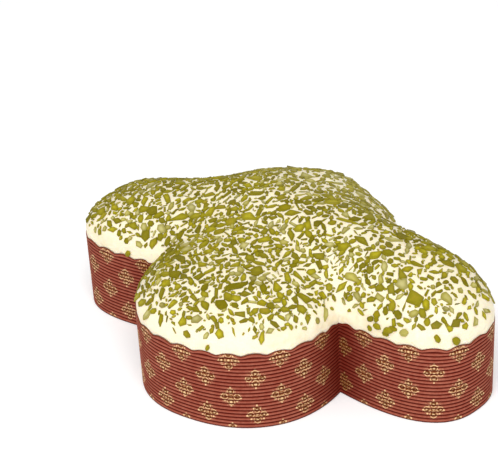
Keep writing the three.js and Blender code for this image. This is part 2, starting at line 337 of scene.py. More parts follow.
def case_rings():
    """Ring by ring up the ribbed outside, over the scalloped rim and down the inside, each with the
    height up the print's strip. Past 1 the strip lies on the inside."""
    waves = [scallop_wave(distance) for distance in case_distances]
    rings, strips = [], []

    def add(inset, height, strip=None):
        near_rim = max(0.0, 1 - (CASE_HEIGHT - height) / WAVY_UNDER_RIM)
        lift = SCALLOP_HEIGHT * near_rim * near_rim * (3 - 2 * near_rim)
        heights = [height + lift * wave for wave in waves]
        rings.append(inset_ring(case_points, case_outward, inset + INSIDE_FRAME, heights))
        strips.append(height / CASE_HEIGHT if strip is None else strip)

    for inset, height in FOOT_ARC:
        add(inset * FOOT_ROUND, height * FOOT_ROUND)
    rib = (CASE_HEIGHT - RIBS_START) / RIBS
    for i in range(RIBS):
        for share, depth in RIB_PROFILE:
            if i or share:
                add(depth * RIB_GROOVE, RIBS_START + (i + share) * rib)
    for inset, drop, strip in RIM_ARC:
        add(inset * PAPER, CASE_HEIGHT - drop * PAPER, strip)
    wall = ((PAPER, CASE_HEIGHT - WAVY_UNDER_RIM), (PAPER, PAPER + FOOT_ROUND), (PAPER + FOOT_ROUND, PAPER))
    for (inset, height), strip in zip(wall, STRIPS_INSIDE):
        add(inset, height, strip)
    return rings, strips


def wrap_print(body, laid, strips):
    """Lays the print's map on the case: the column of ornaments and the height up the strip. A second
    map tells how near a folded notch the paper is, for the painted shade there."""
    map_spots = {}
    for ring, strip in zip(laid, strips):
        for vertex, distance in zip(ring, case_distances):
            map_spots[vertex] = (distance, strip)
    layer = body.loops.layers.uv.new("strip")
    notch_shade = body.loops.layers.uv.new("notch_shade")
    for face in body.faces:
        spots = [map_spots.get(loop.vert) for loop in face.loops]
        ways = [spot[0] for spot in spots if spot]
        if max(ways) - min(ways) > PERIMETER / 2:
            spots = [spot and (spot[0] or PERIMETER, spot[1]) for spot in spots]
            ways = [spot[0] for spot in spots if spot]
        arc = bisect.bisect_right(NOTCHES, (max(ways) + min(ways)) / 2) - 1
        known = next(spot for spot in spots if spot)
        for loop, spot in zip(face.loops, spots):
            distance, strip = spot or known
            loop[layer].uv = (column_at(distance, arc), strip)
            loop[notch_shade].uv = (1 - smooth_step(off_notch(distance), 0, FOLD_SHADE), 0)


def add_node(tree, kind, values=None, **settings):
    """A shader node with its settings, its inputs set to values or linked to other nodes' outputs."""
    node = tree.nodes.new(kind)
    for name, value in settings.items():
        setattr(node, name, value)
    for key, value in (values or {}).items():
        if isinstance(value, bpy.types.NodeSocket):
            tree.links.new(value, node.inputs[key])
        else:
            node.inputs[key].default_value = value
    return node


def calc(tree, operation, *values):
    return add_node(tree, "ShaderNodeMath", dict(enumerate(values)), operation=operation).outputs[0]


def fade(tree, value, start, end, low=0.0, high=1.0):
    """Runs smoothly from low to high while value goes from start to end."""
    values = {"Value": value, "From Min": start, "From Max": end, "To Min": low, "To Max": high}
    return add_node(tree, "ShaderNodeMapRange", values, interpolation_type="SMOOTHSTEP").outputs["Result"]


MIX_SHARE, MIX_FIRST, MIX_SECOND, MIX_RESULT = 0, 6, 7, 2


def mixed(tree, share, first, second):
    """Colour first turning to second by share."""
    values = {MIX_SHARE: share, MIX_FIRST: first, MIX_SECOND: second}
    return add_node(tree, "ShaderNodeMix", values, data_type="RGBA").outputs[MIX_RESULT]


def tinted(tree, colour, mask, share, over):
    """Another colour laid over the first by a share of a mask."""
    return mixed(tree, calc(tree, "MULTIPLY", mask, share), colour, over)


def mottle_group():
    """The shared effect of the paper and the food: soft cloudy grain, clear between low and high."""
    group = bpy.data.node_groups.new("cloudy_grain", "ShaderNodeTree")
    group.interface.new_socket("Where", in_out="INPUT", socket_type="NodeSocketVector")
    for name in ("Scale", "Detail", "Low", "High"):
        group.interface.new_socket(name, in_out="INPUT", socket_type="NodeSocketFloat")
    group.interface.new_socket("Grain", in_out="OUTPUT", socket_type="NodeSocketFloat")
    given = group.nodes.new("NodeGroupInput").outputs
    values = {"Vector": given["Where"], "Scale": given["Scale"], "Detail": given["Detail"], "Roughness": 0.6}
    cloud = add_node(group, "ShaderNodeTexNoise", values).outputs["Fac"]
    clear = fade(group, cloud, given["Low"], given["High"])
    group.links.new(clear, group.nodes.new("NodeGroupOutput").inputs["Grain"])
    return group


CLOUDY_GRAIN = mottle_group()


def grain(tree, where, scale, detail=3.0, low=0.3, high=0.7):
    values = {"Where": where, "Scale": scale, "Detail": detail, "Low": low, "High": high}
    return add_node(tree, "ShaderNodeGroup", values, node_tree=CLOUDY_GRAIN).outputs["Grain"]


def bump(tree, height, distance):
    values = {"Height": height, "Distance": distance}
    return add_node(tree, "ShaderNodeBump", values).outputs["Normal"]


def new_material(name, **sockets):
    """A material, its node tree and its Principled shader with the named sockets set."""
    material = bpy.data.materials.new(name)
    material.use_nodes = True
    shader = next(n for n in material.node_tree.nodes if n.type == "BSDF_PRINCIPLED")
    for socket, value in sockets.items():
        shader.inputs[socket.replace("_", " ")].default_value = value
    return material, material.node_tree, shader


def wire(tree, shader, colour, roughness, normal):
    """Links what a material's nodes make to its shader."""
    for socket, value in (("Base Color", colour), ("Roughness", roughness), ("Normal", normal)):
        tree.links.new(value, shader.inputs[socket])


def oval(tree, x, y, shape):
    """1 on the edge of an oval, less inside it. The shape is its middle and its radii."""
    u = calc(tree, "DIVIDE", calc(tree, "SUBTRACT", x, shape[0]), shape[2])
    v = calc(tree, "DIVIDE", calc(tree, "SUBTRACT", y, shape[1]), shape[3])
    return calc(tree, "SQRT", calc(tree, "ADD", calc(tree, "MULTIPLY", u, u), calc(tree, "MULTIPLY", v, v)))


# Lines and dots fade out between these shares of their half width or radius
LINE_FADES = (0.6, 1.4)
DOT_FADES = (0.75, 1.25)


def ring_line(tree, x, y, shape, width):
    """1 on a line of that width round an oval's edge."""
    off = calc(tree, "ABSOLUTE", calc(tree, "SUBTRACT", oval(tree, x, y, shape), 1))
    share = width / (shape[2] + shape[3])
    return fade(tree, off, share * LINE_FADES[0], share * LINE_FADES[1], 1.0, 0.0)


def dot(tree, x, y, shape):
    return fade(tree, oval(tree, x, y, shape), *DOT_FADES, 1.0, 0.0)


def most(tree, masks):
    total = masks[0]
    for mask in masks[1:]:
        total = calc(tree, "MAXIMUM", total, mask)
    return total


# The ornament is a plain flowery cross: an oval petal above, below and on either side with a bead in
# each, and beads at the tips and in the corners. Each has a middle and radii in millimetres, measured
# from the ornament's own middle. The two sides are alike.
ORNAMENT_ROUND = 26.2
ORNAMENT_UP = 23.2
GOLD_OVALS = ((0, 3.9, 2.0, 2.1), (0, -3.6, 2.2, 2.3), (3.9, 0.1, 2.0, 1.9))
GOLD_BEADS = (
    (0, 6.9, 0.55, 0.6),
    (0, 3.7, 0.65, 0.65),
    (2.0, 5.0, 0.5, 0.5),
    (0, -3.9, 0.9, 0.85),
    (0, -6.7, 0.55, 0.55),
    (6.2, -0.6, 0.55, 0.5),
    (3.7, -3.1, 0.65, 0.5),
    (0, 0.1, 0.8, 0.55),
    (4.2, 0, 0.6, 0.55),
    (2.8, 2.6, 0.45, 0.45),
)
BROWN_HEART = (0, 0, 2.4, 2.0)
DARK_INSIDE = 0.62
GOLD_LINE = 0.42
# Gold dust lies round the ornament and thins out between these shares of its radii
GOLD_DUST = (0, 0, 7.2, 7.4)
DUST_FADES = (0.7, 1.05)
DUST_SHARE = 0.4
# A grain has its scale, its detail, and the low and high between which it is clear
DUST_GRAIN = (1400, 2, 0.52, 0.62)
WEAR_GRAIN = (700, 3, 0.25, 0.6)
WORN_GOLD = 0.55
GOLD_METALLIC = 0.2
MOTTLE_SCALE = 420
CLOUD_SCALE = 60
FIBRE_SCALE = 900
FIBRE_DEPTH = 0.00006
PAPER_ROUGH = (0.62, 0.4)
PAPER_REDS = ((0.27, 0.06, 0.034, 1), (0.34, 0.1, 0.06, 1), (0.22, 0.035, 0.018, 1))
PAPER_BROWN = (0.19, 0.066, 0.008, 1)
PAPER_DARK = (0.08, 0.022, 0.001, 1)
PAPER_GOLD = (0.8, 0.52, 0.27, 1)
# Painted shade: on the gold and on the paper near a notch's fold, and on the paper in the rib grooves
PAPER_GOLD_FOLD_SHADE = (0.3, 0.13, 0.03, 1)
PAPER_GROOVE_SHADE = (0.07, 0.0005, 0.0, 1)
PAPER_FOLD_SHADE = (0.115, 0.005, 0.001, 1)
PAPER_RIM = (0.3, 0.115, 0.055, 1)
# A painted highlight on the rib crests
PAPER_CREST_HIGHLIGHT = (0.52, 0.23, 0.17, 1)
CLOUD_SHARE = 0.4
# The shares of the painted highlight on the crests and of the painted shade near a fold
CREST_HIGHLIGHT_SHARE = 0.16
FOLD_SHADE_SHARE = 0.78
BROWN_SHARE = 0.65
DARK_SHARE = 0.75
# The shares of the painted shade on the gold near a fold and in the rib grooves
GOLD_FOLD_SHADE_SHARE = 0.8
GROOVE_SHADE_SHARE = 0.95
# Where a rib's crest stands, how far off it the painted highlight on the crest is full, and where the
# painted shade in the groove starts and ends, in shares of a rib
RIB_CREST = 0.52
CREST_CLEAR = 0.02
GROOVE_EDGES = (0.19, 0.41)
INSIDE_STARTS = (1.001, 1.015)


def paper_material():
    material, tree, shader = new_material("burgundy_ribbed_paper", Specular_IOR_Level=0.04)
    strip = add_node(tree, "ShaderNodeUVMap", uv_map="strip").outputs[0]
    spot = add_node(tree, "ShaderNodeSeparateXYZ", {0: strip})
    where = add_node(tree, "ShaderNodeTexCoord").outputs["Object"]
    up = calc(tree, "MULTIPLY", spot.outputs["Y"], 1000 * CASE_HEIGHT)

    # Every second column of ornaments stands half a row lower, and a column stands on each crest but
    # the first ones, which are tucked into the folds
    column = calc(tree, "ADD", spot.outputs["X"], 1)
    nearest = calc(tree, "ROUND", column)
    off_column = calc(tree, "ABSOLUTE", calc(tree, "SUBTRACT", column, nearest))
    x = calc(tree, "MULTIPLY", off_column, 1000 * SCALLOP_PITCH)
    is_tucked = calc(tree, "COMPARE", nearest, 1, 0.5)
    odd = calc(tree, "ABSOLUTE", calc(tree, "FLOORED_MODULO", nearest, 2))
    row = calc(tree, "DIVIDE", calc(tree, "SUBTRACT", up, ORNAMENT_UP), ORNAMENT_ROUND)
    row = calc(tree, "ADD", row, calc(tree, "MULTIPLY", odd, 0.5))
    y = calc(tree, "MULTIPLY", calc(tree, "SUBTRACT", row, calc(tree, "ROUND", row)), ORNAMENT_ROUND)
    lines = [ring_line(tree, x, y, shape, GOLD_LINE) for shape in GOLD_OVALS]
    gold = most(tree, [*lines, *(dot(tree, x, y, shape) for shape in GOLD_BEADS)])
    brown = most(tree, [dot(tree, x, y, shape) for shape in (*GOLD_OVALS, BROWN_HEART)])
    small = [(a, b, DARK_INSIDE * wide, DARK_INSIDE * high) for a, b, wide, high in GOLD_OVALS]
    dark = most(tree, [dot(tree, x, y, shape) for shape in small])
    worn = grain(tree, where, *WEAR_GRAIN)
    gold = calc(tree, "MULTIPLY", gold, fade(tree, worn, 0, 1, WORN_GOLD, 1.0))
    close = fade(tree, oval(tree, x, y, GOLD_DUST), *DUST_FADES, DUST_SHARE, 0.0)
    gold = most(tree, [gold, calc(tree, "MULTIPLY", grain(tree, where, *DUST_GRAIN), close)])
    printed = calc(tree, "SUBTRACT", 1, is_tucked)
    gold, brown, dark = (calc(tree, "MULTIPLY", ink, printed) for ink in (gold, brown, dark))

    rib = 1000 * (CASE_HEIGHT - RIBS_START) / RIBS
    phase = calc(tree, "FRACT", calc(tree, "DIVIDE", calc(tree, "SUBTRACT", up, 1000 * RIBS_START), rib))
    off_crest = calc(tree, "ABSOLUTE", calc(tree, "SUBTRACT", phase, RIB_CREST))
    # Painted shade darkens the grooves between the ribs, and a painted highlight lightens their crests
    groove_shade = fade(tree, off_crest, *GROOVE_EDGES)
    crest = fade(tree, off_crest, CREST_CLEAR, GROOVE_EDGES[0], CREST_HIGHLIGHT_SHARE, 0.0)
    inside = fade(tree, spot.outputs["Y"], *INSIDE_STARTS)

    red = mixed(tree, grain(tree, where, MOTTLE_SCALE), PAPER_REDS[0], PAPER_REDS[1])
    red = tinted(tree, red, grain(tree, where, CLOUD_SCALE), CLOUD_SHARE, PAPER_REDS[2])
    # Painted shade darkens the paper near a notch's fold, and the gold there less
    notch_shade_map = add_node(tree, "ShaderNodeUVMap", uv_map="notch_shade").outputs[0]
    notch_shade = add_node(tree, "ShaderNodeSeparateXYZ", {0: notch_shade_map}).outputs["X"]
    red = mixed(tree, crest, red, PAPER_CREST_HIGHLIGHT)
    red = tinted(tree, red, notch_shade, FOLD_SHADE_SHARE, PAPER_FOLD_SHADE)
    red = tinted(tree, red, brown, BROWN_SHARE, PAPER_BROWN)
    red = tinted(tree, red, dark, DARK_SHARE, PAPER_DARK)
    shaded_foil = tinted(tree, PAPER_GOLD, notch_shade, GOLD_FOLD_SHADE_SHARE, PAPER_GOLD_FOLD_SHADE)
    coloured = mixed(tree, gold, red, shaded_foil)
    coloured = tinted(tree, coloured, groove_shade, GROOVE_SHADE_SHARE, PAPER_GROOVE_SHADE)
    coloured = mixed(tree, inside, coloured, PAPER_RIM)
    tree.links.new(calc(tree, "MULTIPLY", gold, GOLD_METALLIC), shader.inputs["Metallic"])
    fibres = bump(tree, grain(tree, where, FIBRE_SCALE), FIBRE_DEPTH)
    wire(tree, shader, coloured, fade(tree, gold, 0, 1, *PAPER_ROUGH), fibres)
    return material


rings, strips = case_rings()
case_body, case_laid = drawn_body(rings, heart_at(0.0), heart_at(PAPER))
wrap_print(case_body, case_laid, strips)
paper_case = finished(case_body, "ribbed_case", paper_material())
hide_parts("paper_case")


# The bread: the baked dough, a golden brown crust under the icing and inside the paper. Its form
# stays as the frame gives it.
CRUST_PALE = (0.58, 0.3, 0.11, 1)
CRUST_DARK = (0.27, 0.1, 0.03, 1)
BAKED_GRAIN = (45, 5)
PORE_GRAIN = (600, 4)
PORE_SHARE = 0.3
PORE_DEPTH = 0.0003
CRUST_ROUGH = (0.8, 0.5)


def crust_material():
    material, tree, shader = new_material("golden_crust")
    where = add_node(tree, "ShaderNodeTexCoord").outputs["Object"]
    baked = grain(tree, where, *BAKED_GRAIN)
    pores = grain(tree, where, *PORE_GRAIN)
    colour = mixed(tree, baked, CRUST_PALE, CRUST_DARK)
    colour = tinted(tree, colour, pores, PORE_SHARE, CRUST_PALE)
    wire(tree, shader, colour, fade(tree, baked, 0, 1, *CRUST_ROUGH), bump(tree, pores, PORE_DEPTH))
    return material


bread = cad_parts["bread"]
bread.data.materials.clear()
bread.data.materials.append(crust_material())


# The icing: a thick white glaze poured over the warm bread. It starts just inside the rim, with an
# edge that swells and shrinks, and lies in a smooth skin over the four lobes.
SHOULDER_POWER = 2.28
SHOULDER_STEEPNESS = 0.49
LOBE_BLEND = 0.64
FARTHEST_PLACE = 4
# Where the dough rose more or less than elsewhere: the place, how much, and how far round it
HILLS = (
    (-0.004, 0.076, 0.0022, 0.024),
    (0.026, 0.084, -0.0032, 0.018),
    (0.121, 0.027, 0.0024, 0.015),
    (-0.052, 0.062, -0.0014, 0.018),
    (-0.138, -0.01, 0.0015, 0.014),
)
HILL_FADE = 0.012
# The unevenness of the top: a broad wave along and across, and a slighter one on the slant
BROAD_WAVE = 0.0005
BROAD_SPANS = (0.017, 0.013)
BROAD_START = 0.6
SLANTED_WAVE = 0.0004
SLANTED_SPAN = 0.009
GAP = 0.0003
ICING = 0.0036
ICING_BELOW_RIM = 0.0045
ICING_LIP = 0.003
ICING_INSET = 0.0008
SETTLE = 0.0004
SWELL = 0.0003
SWELL_SPANS = (0.011, 0.008)
SWELL_RISES = (0.0002, 0.0066)
ICING_STEP = 0.0022
# Where the rings over the dome lie: insets from the edge, then even shares of the way to the middle
DOME_INSETS = (0.002, 0.0028, 0.0038, 0.0054, 0.0072, 0.009, 0.0112, 0.0135)
INNER_RINGS = 24
LAST_GAP = 0.6
BETWEEN_RINGS = 4
UNDER_INSETS = (0.009, 0.0135)
UNDER_SHARES = (0.8, 0.55, 0.3, 0.08)
RIPPLE = ((0.0003, 55), (0.0001, 170))
CREASE_SMOOTHINGS = 5


def joined(f, g):
    """Runs two rises together. The result is at 0 where the higher of them is."""
    return (f + g + math.sqrt(f * f + g * g - 2 * LOBE_BLEND * f * g)) / (1 + LOBE_BLEND)


def dome_height(point):
    """How far the bread domes above the rim at a place."""
    rises = []
    for lobe in LOBES:
        place = min(lobe_place(lobe, point), FARTHEST_PLACE)
        rises.append(lobe[-1] ** (1 / SHOULDER_STEEPNESS) * (1 - place ** SHOULDER_POWER))
    tail, back_wing, head, front_wing = rises
    return max(joined(joined(tail, head), joined(back_wing, front_wing)), 0.0) ** SHOULDER_STEEPNESS


def unevenness(point):
    """Low, broad unevenness of the hand-poured icing."""
    broad = BROAD_WAVE * math.sin(point.x / BROAD_SPANS[0] + BROAD_START) * math.cos(point.y / BROAD_SPANS[1])
    return broad + SLANTED_WAVE * math.sin((point.x + point.y) / SLANTED_SPAN)


def hump_at(point, x, y, reach):
    """A soft hump: 1 at its middle, falling off over its reach."""
    return math.exp(-((point.x - x) ** 2 + (point.y - y) ** 2) / reach ** 2)


def icing_top(point):
    dome = dome_height(point) + unevenness(point)
    share = min(max(dome / HILL_FADE, 0.0), 1.0)
    hills = sum(rise * hump_at(point, x, y, reach) for x, y, rise, reach in HILLS)
    return CASE_HEIGHT + ICING_LIP - SETTLE + dome + share * hills


def swell_at(point):
    """How far the icing swells out just above the rim."""
    return SWELL * math.sin(point.x / SWELL_SPANS[0] + point.y / SWELL_SPANS[1])


def dome_rings(points, outward, insets, shares, lower=0.0):
    """Rings that close in over the top towards the heart of the dove."""
    rings = [inset_ring(points, outward, inset, 0.0) for inset in insets]
    middle = heart_at(0.0)
    rings += [[middle.lerp(corner, share) for corner in rings[-1]] for share in shares]
    for ring in rings:
        for corner in ring:
            corner.z = icing_top(corner.xy - SHIFT) - lower
    return rings


def smooth_between(rings, steps):
    """Rings on a smooth curve through the middle ones of these, the first and last only guiding it."""
    made = []
    for before, a, b, after in zip(rings, rings[1:], rings[2:], rings[3:]):
        for j in range(steps):
            t = j / steps
            ring = []
            for p, q, r, s in zip(before, a, b, after):
                bend = (2 * p - 5 * q + 4 * r - s) * t ** 2 + (3 * q - p - 3 * r + s) * t ** 3
                ring.append((2 * q + (r - p) * t + bend) / 2)
            made.append(ring)
    return made


def icing_rings():
    """The rings of the skin, from under the middle out to its foot, and up and over the dome again,
    with how many of them lie below the rim."""
    points, outward, distances = dove_outline(ICING_STEP)

    def ring(inset, height):
        return inset_ring(points, outward, inset, height)

    side = PAPER + GAP
    foot = CASE_HEIGHT - ICING_BELOW_RIM
    rim = [CASE_HEIGHT + SCALLOP_HEIGHT * scallop_wave(distance) for distance in distances]
    swollen = [ICING_INSET - swell_at(point) for point in points]
    shoulder = side + ICING
    under = dome_rings(points, outward, UNDER_INSETS, UNDER_SHARES, ICING - GAP)
    under.reverse()
    inner = [ring(shoulder, CASE_HEIGHT), ring(shoulder, foot), ring(side, foot)]
    shares = [1 - (k + 1) / (INNER_RINGS + LAST_GAP) for k in range(INNER_RINGS)]
    dome = dome_rings(points, outward, DOME_INSETS, shares)
    guides = [
        ring(side, foot),
        ring(side, [height + GAP for height in rim]),
        ring(swollen, [height + SWELL_RISES[0] for height in rim]),
        ring(swollen, CASE_HEIGHT + SWELL_RISES[1]),
        *dome[:2],
    ]
    return [*under, *inner, *smooth_between(guides, BETWEEN_RINGS), *dome], len(under) + len(inner)


def settle_surface(body, laid, first):
    """Lets the poured surface run smooth over its creases, and gives it a slight ripple."""
    dome = [vertex for ring in laid[first + 2 * BETWEEN_RINGS:] for vertex in ring]
    for _ in range(CREASE_SMOOTHINGS):
        bmesh.ops.smooth_vert(body, verts=dome, factor=0.5, use_axis_x=True, use_axis_y=True, use_axis_z=True)
    body.normal_update()
    for ring in laid[first:]:
        for vertex in ring:
            depth = sum(size * noise.noise(vertex.co * scale) for size, scale in RIPPLE)
            vertex.co += vertex.normal * depth
    body.normal_update()


ICING_CREAM = (0.87, 0.772, 0.56, 1)
ICING_WARM = (0.8, 0.69, 0.46, 1)
ICING_WHITE = (0.91, 0.855, 0.73, 1)
ICING_STAINED = (0.88, 0.785, 0.54, 1)
# Nuts stain the icing from the first to the second height above the rim
STAINED_ABOVE = (0.01, 0.026)
STAINED_SHARE = 0.6
THIN_GRAIN = (38, 3, 0.42, 0.72)
FINE_GRAIN = (260, 4)
DIMPLE_GRAIN = (90, 2)
WHITE_SHARE = 0.25
FINE_RELIEF = 0.35
ICING_RELIEF = 0.0004
ICING_ROUGH = (0.4, 0.58)
ICING_SCATTER = (1.0, 0.75, 0.4)


def icing_material():
    material, tree, shader = new_material(
        "set_white_icing",
        Specular_IOR_Level=0.2,
        Subsurface_Weight=0.3,
        Subsurface_Scale=0.003,
        Subsurface_Radius=ICING_SCATTER,
    )
    where = add_node(tree, "ShaderNodeTexCoord").outputs["Object"]
    thin = grain(tree, where, *THIN_GRAIN)
    fine = grain(tree, where, *FINE_GRAIN)
    colour = mixed(tree, thin, ICING_CREAM, ICING_WARM)
    height = add_node(tree, "ShaderNodeSeparateXYZ", {0: where}).outputs["Z"]
    stained = fade(tree, calc(tree, "SUBTRACT", height, CASE_HEIGHT), *STAINED_ABOVE)
    colour = tinted(tree, colour, stained, STAINED_SHARE, ICING_STAINED)
    colour = tinted(tree, colour, fine, WHITE_SHARE, ICING_WHITE)
    relief = calc(tree, "MULTIPLY_ADD", fine, FINE_RELIEF, grain(tree, where, *DIMPLE_GRAIN))
    wire(tree, shader, colour, fade(tree, fine, 0, 1, *ICING_ROUGH), bump(tree, relief, ICING_RELIEF))
    return material


rings, first_outer = icing_rings()
crown = icing_top(HEART)
icing_body, icing_laid = drawn_body(rings, heart_at(crown - ICING + GAP), heart_at(crown))
settle_surface(icing_body, icing_laid, first_outer)
# Flakes are strewn over the patches that lie outside and above the rim
icing_surface = BVHTree.FromBMesh(icing_body)
strewn_over = [vertex for ring in icing_laid[first_outer + BETWEEN_RINGS:] for vertex in ring]
outer_faces = {face for vertex in strewn_over for face in vertex.link_faces}
icing_patches = [(face.calc_center_median(), face.normal.copy(), face.calc_area()) for face in outer_faces]
icing_patches.sort(key=lambda patch: tuple(patch[0]))
icing = finished(icing_body, "white_icing", icing_material())
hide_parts("icing")


# The nut flakes: green nuts shaved and broken into flat angular chips, strewn over the wet icing and
# stuck in it. They lie close on the top and thin out towards the rim, with a few chunky nibs.
LARGE_FLAKES = 200
FLAKE_LENGTH = (0.006, 0.014)
FLAKE_ASPECT = (0.32, 0.7)
FOUR_CORNERED = 0.65
FLAKE_ABOVE = 0.001
FLAKE_SUNK = 0.0012
FLAKE_DEEPEST = 0.0018
FLAKE_SPAN = 0.155
SPACING = 0.62
BARE_RIM = 0.35
FLAKE_MARGIN = 0.007
LARGE_SEED = 12
CORNER_WANDER = 0.7
CORNER_REACH = (0.82, 1.18)
CORNER_PLACE = 0.97
SIZE_FALL = 2.2
SLOPE_STEP = 0.001
DRAW_FACTOR, DRAW_STEP, DRAW_RANGE = 1664525, 1013904223, 4294967296
# The form of a chip: how far its worn upper edge reaches in, the share of its thickness at which that
# starts, and how far its middle rises. A broken one has bulging sides and blunt corners.
FLAKE_RIM = 0.0004
WORN_FROM = 0.8
MIDDLE_RISE = (-0.1, 0.12)
SIDE_BULGE = (0.93, 1.12)
BLUNTNESS = (1.0, 2.2)
# The form of a nib: how wide and high it is for its length, and its lumps
NIB_WIDTH = (0.55, 0.8)
NIB_HEIGHT = (0.45, 0.65)
LUMP_SIZE = 0.35
LUMP_SCALE = 4
LUMP_SPAN = 50


def seeded_draws(seed):
    """Draws between 0 and 1 that are the same at every run."""
    state = seed
    while True:
        state = (state * DRAW_FACTOR + DRAW_STEP) % DRAW_RANGE
        yield state / DRAW_RANGE


def between(ends, share):
    return (1 - share) * ends[0] + share * ends[1]


def corner_at(angle, reach, aspect):
    return Vector((math.cos(angle) * reach, math.sin(angle) * reach * aspect, 0))


def flake_outline(draws, length):
    """The outline of an angular chip of four or five corners, with its middle at the origin."""
    aspect = between(FLAKE_ASPECT, next(draws))
    corners = 4 if next(draws) < FOUR_CORNERED else 5
    outline = []
    for i in range(corners):
        angle = (i + CORNER_WANDER * (next(draws) - 0.5)) / corners * 2 * math.pi
        reach = 0.5 * length * between(CORNER_REACH, next(draws))
        outline.append(corner_at(angle, reach, aspect))
    return outline


def flake_turn(point, spin):
    """Turns a chip by spin and lays it square to the smooth dome at a place."""
    def slope(x, y):
        way = Vector((x, y))
        return (icing_top(point + way) - icing_top(point - way)) / (2 * SLOPE_STEP)

    normal = Vector((-slope(SLOPE_STEP, 0), -slope(0, SLOPE_STEP), 1)).normalized()
    lie = Vector((0, 0, 1)).rotation_difference(normal)
    return lie @ Quaternion((0, 0, 1), spin)


def lies_well(point, outline, turn):
    """A chip lies well if no lower corner hangs past the edge or digs through the icing."""
    for corner in outline:
        low = turn @ (corner - Vector((0, 0, FLAKE_SUNK)))
        place = point + low.xy
        if not any(lobe_place(lobe, place) < CORNER_PLACE for lobe in LOBES):
            return False
        if icing_top(place) - icing_top(point) - low.z >= FLAKE_DEEPEST:
            return False
    return True


def large_flakes():
    """The large flakes, the largest first, thinner towards the rim and never too close."""
    draws = seeded_draws(LARGE_SEED)
    laid = []
    while len(laid) < LARGE_FLAKES:
        x = FLAKE_SPAN * (2 * next(draws) - 1)
        point = Vector((x, FLAKE_SPAN * (2 * next(draws) - 1)))
        length = between(FLAKE_LENGTH, (1 - len(laid) / LARGE_FLAKES) ** SIZE_FALL)
        way = point - HEART
        room = (edge_point(math.atan2(way.y, way.x)) - HEART).length - way.length
        if room < FLAKE_MARGIN:
            continue
        if room < 3 * FLAKE_MARGIN and next(draws) < BARE_RIM:
            continue
        if any((other - point).length < SPACING * (length + size) for other, size, _, _ in laid):
            continue
        turn = flake_turn(point, next(draws) * 2 * math.pi)
        outline = flake_outline(draws, length)
        if lies_well(point, outline, turn):
            laid.append((point, length, outline, turn))
    return laid


def chip(outline, draw, bottom, top, rim, broken=False):
    """A closed flat chip with that outline. Its upper edge is worn off over rim, and a broken one has
    uneven sides and blunt corners."""
    made = bmesh.new()
    core = made.verts.layers.float.new("core")
    steps = 2 if broken else 1
    bmesh.ops.create_circle(made, cap_ends=True, segments=steps * len(outline), radius=1)
    made.verts.ensure_lookup_table()
    corners = []
    for i, vertex in enumerate(made.verts):
        here = outline[i // steps]
        if i % steps:
            ahead = outline[(i // steps + 1) % len(outline)]
            vertex.co = (here + ahead) / 2 * draw.uniform(*SIDE_BULGE)
        else:
            vertex.co = here
            corners.append(vertex)
    if broken:
        how = {"offset_type": "OFFSET", "segments": 1, "profile": 0.5, "affect": "VERTICES", "material": -1}
        bmesh.ops.bevel(made, geom=corners, offset=rim * draw.uniform(*BLUNTNESS), **how)
    bmesh.ops.recalc_face_normals(made, faces=list(made.faces))
    for vertex in made.verts:
        vertex.co.z = bottom
    raised = bmesh.ops.extrude_face_region(made, geom=list(made.faces))["geom"]
    face = next(part for part in raised if isinstance(part, bmesh.types.BMFace))
    for vertex in face.verts:
        vertex.co.z = bottom + WORN_FROM * (top - bottom)
    bmesh.ops.inset_region(made, faces=[face], thickness=rim, depth=0)
    for vertex in face.verts:
        vertex.co.z = top
    middle = bmesh.ops.poke(made, faces=[face])["verts"][0]
    middle.co.z = top + draw.uniform(*MIDDLE_RISE) * (top - bottom)
    middle[core] = 1
    bmesh.ops.recalc_face_normals(made, faces=list(made.faces))
    return made


def nib(draw, fineness):
    """A chunky rounded bit, 1 long, its middle at the origin."""
    made = bmesh.new()
    bmesh.ops.create_icosphere(made, subdivisions=fineness, radius=0.5)
    size = Vector((1, draw.uniform(*NIB_WIDTH), draw.uniform(*NIB_HEIGHT)))
    start = Vector((draw.uniform(0, LUMP_SPAN), 0, 0))
    for vertex in made.verts:
        lump = 1 + LUMP_SIZE * noise.noise(vertex.co * LUMP_SCALE + start)
        vertex.co = vertex.co * size * lump
    return made


# Smaller flakes are copies of a few kinds, 1 long and 1 thick until they are laid
SEED = 23
CHIP_KINDS = 26
CHIP_CORNERS = (4, 4, 5, 5, 6)
CHIP_ASPECT = (0.42, 0.88)
SLIVER_KINDS = 2
SLIVER_CORNERS = 4
SLIVER_ASPECT = (0.18, 0.3)
KIND_WANDER = 0.27
KIND_REACH = (0.8, 1.15)
KIND_RIM = 0.05
NIB_KINDS = 8
MIDDLE_FLAKES = 1250
SMALL_FLAKES = 1050
MIDDLE_LENGTH = (0.0044, 0.0105)
SMALL_LENGTH = (0.002, 0.0042)
SMALL_BIAS = 1.4
CROWDING = (0.31, 0.3)
FLAKE_THICK = 0.0011
THICKNESS_VARIES = (0.7, 1.25)
WIDTH_VARIES = (0.8, 1.15)
SUNK_SHARE = (0.2, 0.55)
MOST_TILT = 15
AXIS_UP = 0.001
SMALL_NIB = (0.9, 0.9, 0.8)
NIB_LIFT = 0.1
# Flakes thin out between the second and the first height above the rim, and where the icing is steep
BARE_BAND = (0.006, 0.032)
IN_BARE_BAND = 0.01
STEEP = (0.1, 0.85)
ON_STEEP = (0.45, 0.12)
CLUMPS = 120
CLUMP_EDGES = (-0.25, 0.2)
BETWEEN_CLUMPS = 0.45
